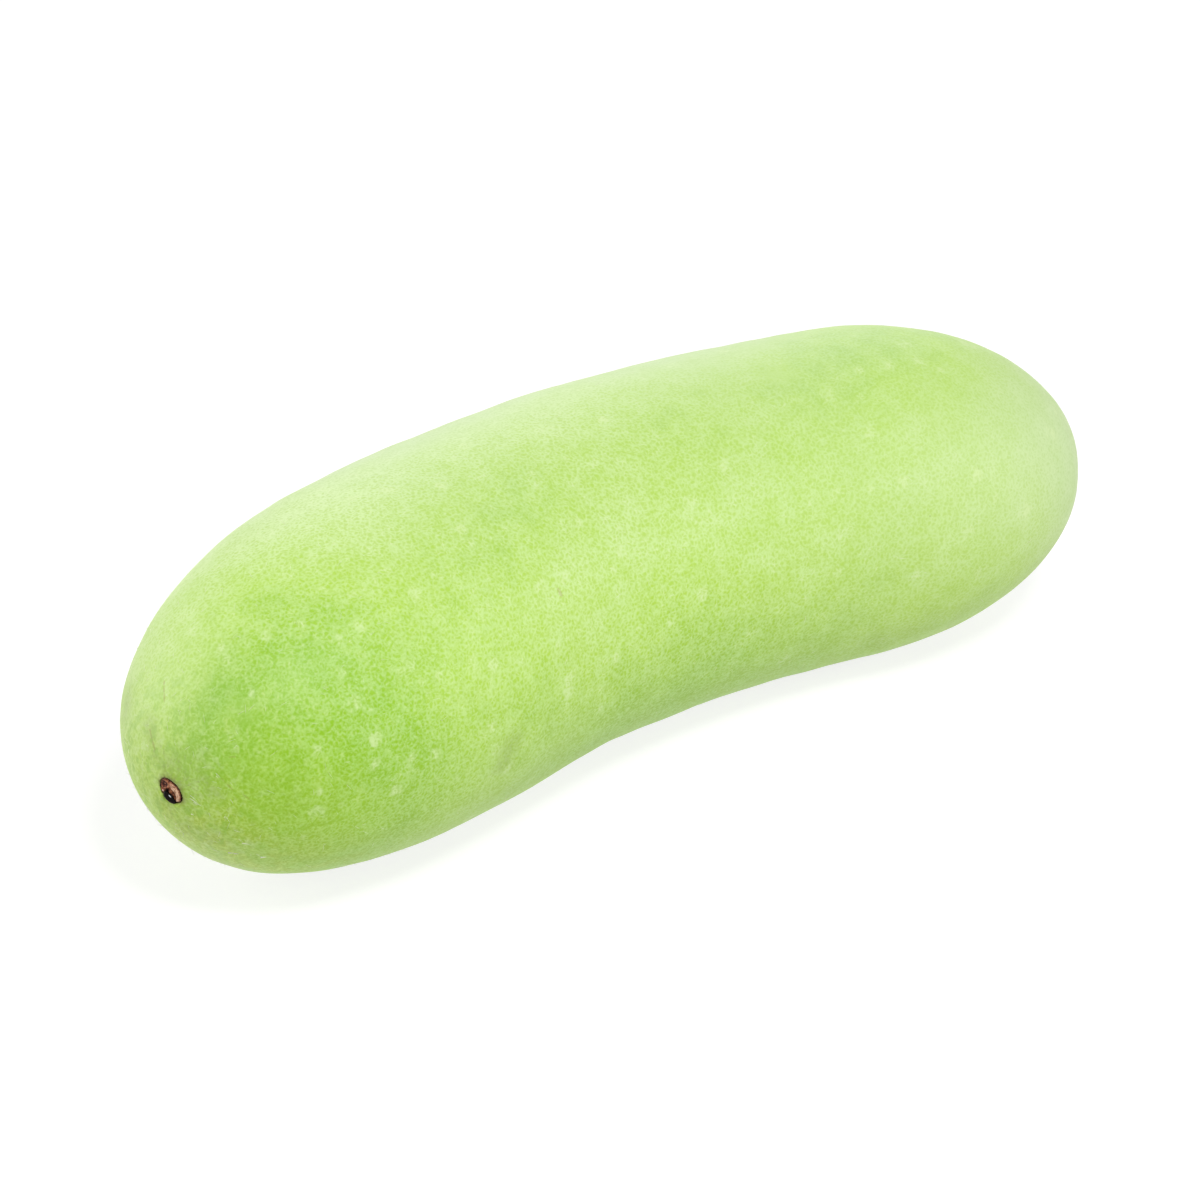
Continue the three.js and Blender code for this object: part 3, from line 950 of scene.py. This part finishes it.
sap = {  # mm, in the stub's own directions
    "length": 4.2,
    "width": 2.1,
    "height": 1.35,
    "place": (0.88, 1.20, 0.03),
    "tilt": 60,  # its flat side leans this far towards the ridge
    "rings": 40,
    "around": 56,
    "colour": (0.003, 0.0015, 0.001),
    "thin": (0.050, 0.012, 0.005),  # where the bead thins out
    "roughness": (0.08, 0.13),
    "specular": 0.11,
}


def onSap(x, y, z):
    # From the bead's own mm to the frame: leant towards the ridge, then put in its place on the stub.
    lean = math.radians(sap["tilt"])
    leant = math.cos(lean) * y - math.sin(lean) * z
    raised = math.sin(lean) * y + math.cos(lean) * z
    placeX, placeY, placeZ = sap["place"]
    return onStub(x + placeX, leant + placeY, raised + placeZ)


def makeSap():
    # An egg-shaped bead, fuller at one end: x = a cos(turn) sin(fall), y = b sin(turn) sin(fall).
    fall = np.linspace(0, math.pi, sap["rings"] + 2)[1:-1, None]
    turnsRound = -np.linspace(0, 2 * math.pi, sap["around"], endpoint=False)[None, :]
    fuller = 1 + 0.08 * np.cos(turnsRound) + 0.03 * np.cos(3 * turnsRound + 0.8)
    x = sap["length"] / 2 * np.cos(turnsRound) * np.sin(fall) ** 0.9 * fuller
    y = sap["width"] / 2 * np.sin(turnsRound) * np.sin(fall) ** 0.9 * fuller
    z = sap["height"] / 2 * np.cos(fall) * (1 + 0.05 * np.sin(1.3 * x))
    middle, half = np.array([0.0]), sap["height"] / 2
    firstPole, lastPole = [onSap(middle, middle, middle + end)[0] for end in (half, -half)]
    piece = closedMesh("sap_bead", onSap(x, y, z), firstPole, lastPole)
    rim = np.clip(1 - np.abs(np.cos(fall)) * 1.6, 0, 1) * smooth(0.5 + 0.5 * np.cos(turnsRound))
    pointAttribute(piece, "rim", np.concatenate([rim.ravel(), [0, 0]]))
    return piece


def sapMaterial():
    material, tree = newMaterial("sap_bead")
    swirl = noise(tree, objectPlace(tree), 900, 2)
    thin = times(tree, attribute(tree, "rim"), shade(tree, swirl, 0.3, 0.6), clamp=True)
    bumped = addNode(tree, "ShaderNodeBump", {"Height": swirl, "Strength": 0.15, "Distance": 0.1 * mm})
    bsdf = addNode(tree, "ShaderNodeBsdfPrincipled", {
        "Base Color": mixColours(tree, thin, (*sap["colour"], 1), (*sap["thin"], 1)),
        "Roughness": shade(tree, swirl, 0.3, 0.8, *sap["roughness"]),
        "Specular IOR Level": sap["specular"],
        "Normal": bumped.outputs[0],
    })
    finishMaterial(tree, bsdf.outputs[0])
    return material


stubScar = makeStub()
stubScar.data.materials.append(stubMaterial())
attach(stubScar, "root")
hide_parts("stem_stub")
sapBead = makeSap()
sapBead.data.materials.append(sapMaterial())
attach(sapBead, "root")
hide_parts("dried_sap")
print("stub and sap:", len(stubScar.data.vertices) + len(sapBead.data.vertices), "points")


bristles = {  # the last ones left on the rind; mm
    "count": 330,
    "nearStem": 0.8,  # share of them towards the stem end
    "stemStart": 0.006,  # where that starts and how far along it goes, in t
    "stemReach": 0.20,
    "elsewhere": (0.2, 0.985),  # where the others are, in t
    "clear": 5,  # none grow lower than this above the floor
    "length": (1.1, 2.8),
    "thickness": 0.12,
    "thins": 0.8,  # share of its thickness that a bristle loses by its tip
    "sunk": 0.12,
    "rise": (8, 42),  # degrees off the skin
    "lyingRise": 0.03,  # radians
    "lying": [  # t and turn of the root and of the tip, thickness; the thickest, low on the stem end, stand for glints
        (0.0015, -4.5, 0.0037, -16.5, 0.17),
        (0.0016, 4, 0.0026, -8, 0.16),
        (0.0021, -14, 0.0029, -17, 0.18),
        (0.0029, -48, 0.0034, -46, 0.35),
        (0.0096, 33, 0.0103, 27, 0.20),
        (0.0092, 30, 0.0097, 27, 0.18),
        (0.0267, -61.5, 0.0286, -58.5, 0.58),
        (0.0288, -58.5, 0.0305, -56.2, 0.52),
        (0.0412, -49.5, 0.0436, -47.0, 0.60),
        (0.0245, -42.8, 0.0281, -40.5, 0.28),
        (0.0058, -24, 0.0066, -29, 0.18),
        (0.0120, 2, 0.0131, -3, 0.18),
        (0.0105, -20, 0.0117, -25, 0.16),
    ],
    "points": 5,
    "seed": 11,
    "root": (0.68, 0.74, 0.42),
    "tip": (0.98, 0.99, 0.88),
}


def unit(vectors):
    return vectors / np.linalg.norm(vectors, axis=-1, keepdims=True)


def looseBristles():
    # Random places and directions, most of them near the stem and none near the floor.
    generator = np.random.default_rng(bristles["seed"])
    count = bristles["count"]
    towardsStem = generator.random(count) < bristles["nearStem"]
    stemT = bristles["stemStart"] + bristles["stemReach"] * generator.random(count) ** 1.4
    t = np.where(towardsStem, stemT, generator.uniform(*bristles["elsewhere"], count))
    angle = generator.uniform(0, 2 * math.pi, count)
    swing = generator.normal(0, 1.0, count)
    length = generator.uniform(*bristles["length"], count)
    rise = np.radians(generator.uniform(*bristles["rise"], count))
    clear = inFrame(skinSurface(t, angle))[:, 2] > bristles["clear"] * mm
    return [values[clear] for values in (t, angle, swing, length, rise)]


def spikeFaces(spikes, rings):
    # Three-sided tubes, each of some rings of 3 points, closed by a triangle at both ends.
    first = (np.arange(spikes) * rings * 3)[:, None, None]
    ringStart = first + 3 * np.arange(rings - 1)[None, :, None]
    j = np.arange(3)[None, None, :]
    following = (j + 1) % 3
    quads = np.stack([ringStart + j, ringStart + 3 + j, ringStart + 3 + following, ringStart + following], -1)
    ends = np.array([[0, 1, 2], [3 * rings - 1, 3 * rings - 2, 3 * rings - 3]])
    return quads.reshape(-1, 4), (first + ends[None]).reshape(-1, 3)


def makeBristles():
    # Each bristle is a three-sided tapering spike: root + length * (s lean + s (1 - s/2) rise) for s 0 to 1.
    t, angle, swing, length, rise = looseBristles()
    loose = len(t)
    rootT, rootTurn, tipT, tipTurn, lyingThickness = np.array(bristles["lying"]).T
    t = np.concatenate([t, rootT])
    angle = np.concatenate([angle, np.radians(rootTurn)])
    root = skinSurface(t, angle)
    step = 1e-3
    alongSkin = unit(skinSurface(t + step, angle) - root)
    roundSkin = unit(skinSurface(t, angle + step) - root)
    out = unit(np.cross(alongSkin, roundSkin))
    out *= np.sign((out * (root - axisFrame(t)[0])).sum(axis=1, keepdims=True))
    swing = swing[:, None]
    lean = np.cos(swing) * alongSkin[:loose] + np.sin(swing) * roundSkin[:loose]
    ways = skinSurface(tipT, np.radians(tipTurn)) - root[loose:]
    lean = np.concatenate([lean, unit(ways)])
    length = np.concatenate([length, np.linalg.norm(ways, axis=1)])[:, None, None]
    rise = np.concatenate([rise, np.full(len(ways), bristles["lyingRise"])])[:, None, None]
    thickness = np.concatenate([np.full(loose, bristles["thickness"]), lyingThickness])[:, None, None]
    isLoose = (np.arange(len(t)) < loose)[:, None, None]
    s = np.linspace(0, 1, bristles["points"])[None, :, None]
    reach = s * np.cos(rise) * lean[:, None] + s * (1 - s / 2) * np.sin(rise) * out[:, None]
    path = root[:, None] + length * reach - np.where(isLoose, bristles["sunk"], 0) * out[:, None]
    sideways = unit(np.cross(lean, out))[:, None]
    thick = thickness / 2 * (1 - bristles["thins"] * s)
    corner = np.radians([90, 210, 330])
    ring = np.cos(corner)[:, None] * sideways[:, :, None] + np.sin(corner)[:, None] * out[:, None, None]
    points = inFrame(path[:, :, None] + thick[..., None] * ring)
    quads, triangles = spikeFaces(len(t), bristles["points"])
    piece = meshFromFaces("bristles", points.reshape(-1, 3), quads, triangles)
    pale = np.where(isLoose, s, 0.6 + 0.3 * s)  # the lying ones are pale all along, lighter than the loose ones as painted glints
    pointAttribute(piece, "tip", np.broadcast_to(pale, points.shape[:3]))
    return piece


def bristleMaterial():
    material, tree = newMaterial("bristles")
    colour = ramp(tree, attribute(tree, "tip"), [bristles["root"], bristles["tip"]])
    bsdf = addNode(tree, "ShaderNodeBsdfPrincipled", {"Base Color": colour, "Roughness": 0.35})
    finishMaterial(tree, bsdf.outputs[0])
    return material


rindBristles = makeBristles()
rindBristles.data.materials.append(bristleMaterial())
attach(rindBristles, "root")
print("bristles:", len(rindBristles.data.polygons), "faces")


camera = {
    "azimuth": -39.3,
    "elevation": 30.8,
    "distance": 1.2,
    "target": (0, 0, 0.048),
    "lens": 133.56,
    "sensor": 36,
    "shift": (0.0055, -0.0222),
}


def fromAngles(azimuth, elevation):
    # Unit vector towards a place seen at azimuth (0 along -Y, 90 along +X) and elevation, in degrees.
    turn = math.radians(azimuth)
    rise = math.radians(elevation)
    flat = math.cos(rise)
    return Vector((math.sin(turn) * flat, -math.cos(turn) * flat, math.sin(rise)))


def makeCamera():
    data = bpy.data.cameras.new("camera")
    eye = bpy.data.objects.new("camera", data)
    bpy.context.scene.collection.objects.link(eye)
    back = fromAngles(camera["azimuth"], camera["elevation"])
    eye.location = Vector(camera["target"]) + back * camera["distance"]
    eye.rotation_euler = back.to_track_quat("Z", "Y").to_euler()
    data.lens = camera["lens"]
    data.sensor_width = camera["sensor"]
    data.shift_x, data.shift_y = camera["shift"]
    data.clip_end = 50
    bpy.context.scene.camera = eye


makeCamera()


studio = {
    "floor": 0.85,
    "floorHalf": 4.0,
    "floorShown": 0.68,  # share of plain white in the floor as the camera and reflections see it
    "floorGlow": 1.2,
    "sky": 0.12,  # the world's light on the object; the camera and reflections see 1
    "key": {"azimuth": 36, "elevation": 26, "power": 5.1, "size": 0.35},
    "front": {"azimuth": -20, "elevation": 55, "power": 16.6, "size": 0.34},
    "backRight": {"azimuth": 141, "elevation": 24, "power": 7.2, "size": 1.6},
    "backLeft": {"azimuth": -142, "elevation": 26, "power": 14.0, "size": 1.6},
    "distance": 1.6,
}


def shownRays(tree):
    # 1 for rays from the camera, off a glossy surface or through a clear one.
    rays = addNode(tree, "ShaderNodeLightPath").outputs
    either = calc(tree, "MAXIMUM", rays["Is Camera Ray"], rays["Is Glossy Ray"])
    return calc(tree, "MAXIMUM", either, rays["Is Transmission Ray"])


def makeFloor():
    half = studio["floorHalf"]
    corners = np.array([(-half, -half, 0), (half, -half, 0), (half, half, 0), (-half, half, 0)])
    floor = meshFromFaces("floor", corners, np.array([[0, 1, 2, 3]]), np.zeros((0, 3), int))
    material, tree = newMaterial("floor")
    level = studio["floor"]
    matt = addNode(tree, "ShaderNodeBsdfDiffuse", {"Color": (level, level, level, 1)}).outputs[0]
    glow = addNode(tree, "ShaderNodeEmission", {"Color": (1, 1, 1, 1), "Strength": studio["floorGlow"]})
    share = times(tree, shownRays(tree), studio["floorShown"])
    mixed = addNode(tree, "ShaderNodeMixShader", {0: share, 1: matt, 2: glow.outputs[0]})
    finishMaterial(tree, mixed.outputs[0])
    floor.data.materials.append(material)


def makeLamp(name):
    facts = studio[name]
    data = bpy.data.lights.new(name, "AREA")
    data.shape = "DISK"
    data.size = facts["size"]
    data.energy = facts["power"]
    lamp = bpy.data.objects.new(name, data)
    bpy.context.scene.collection.objects.link(lamp)
    away = fromAngles(facts["azimuth"], facts["elevation"])
    lamp.location = Vector(camera["target"]) + away * studio["distance"]
    lamp.rotation_euler = away.to_track_quat("Z", "Y").to_euler()


def makeWorld():
    world = bpy.data.worlds.new("world")
    bpy.context.scene.world = world
    world.use_nodes = True
    tree = world.node_tree
    background = tree.nodes["Background"]
    background.inputs["Color"].default_value = (1, 1, 1, 1)
    strength = shade(tree, shownRays(tree), 0, 1, studio["sky"], 1.0)
    tree.links.new(strength, background.inputs["Strength"])


makeFloor()
for lampName in ("key", "front", "backRight", "backLeft"):
    makeLamp(lampName)
makeWorld()
bpy.context.scene.view_settings.view_transform = "Standard"
print("studio ready")
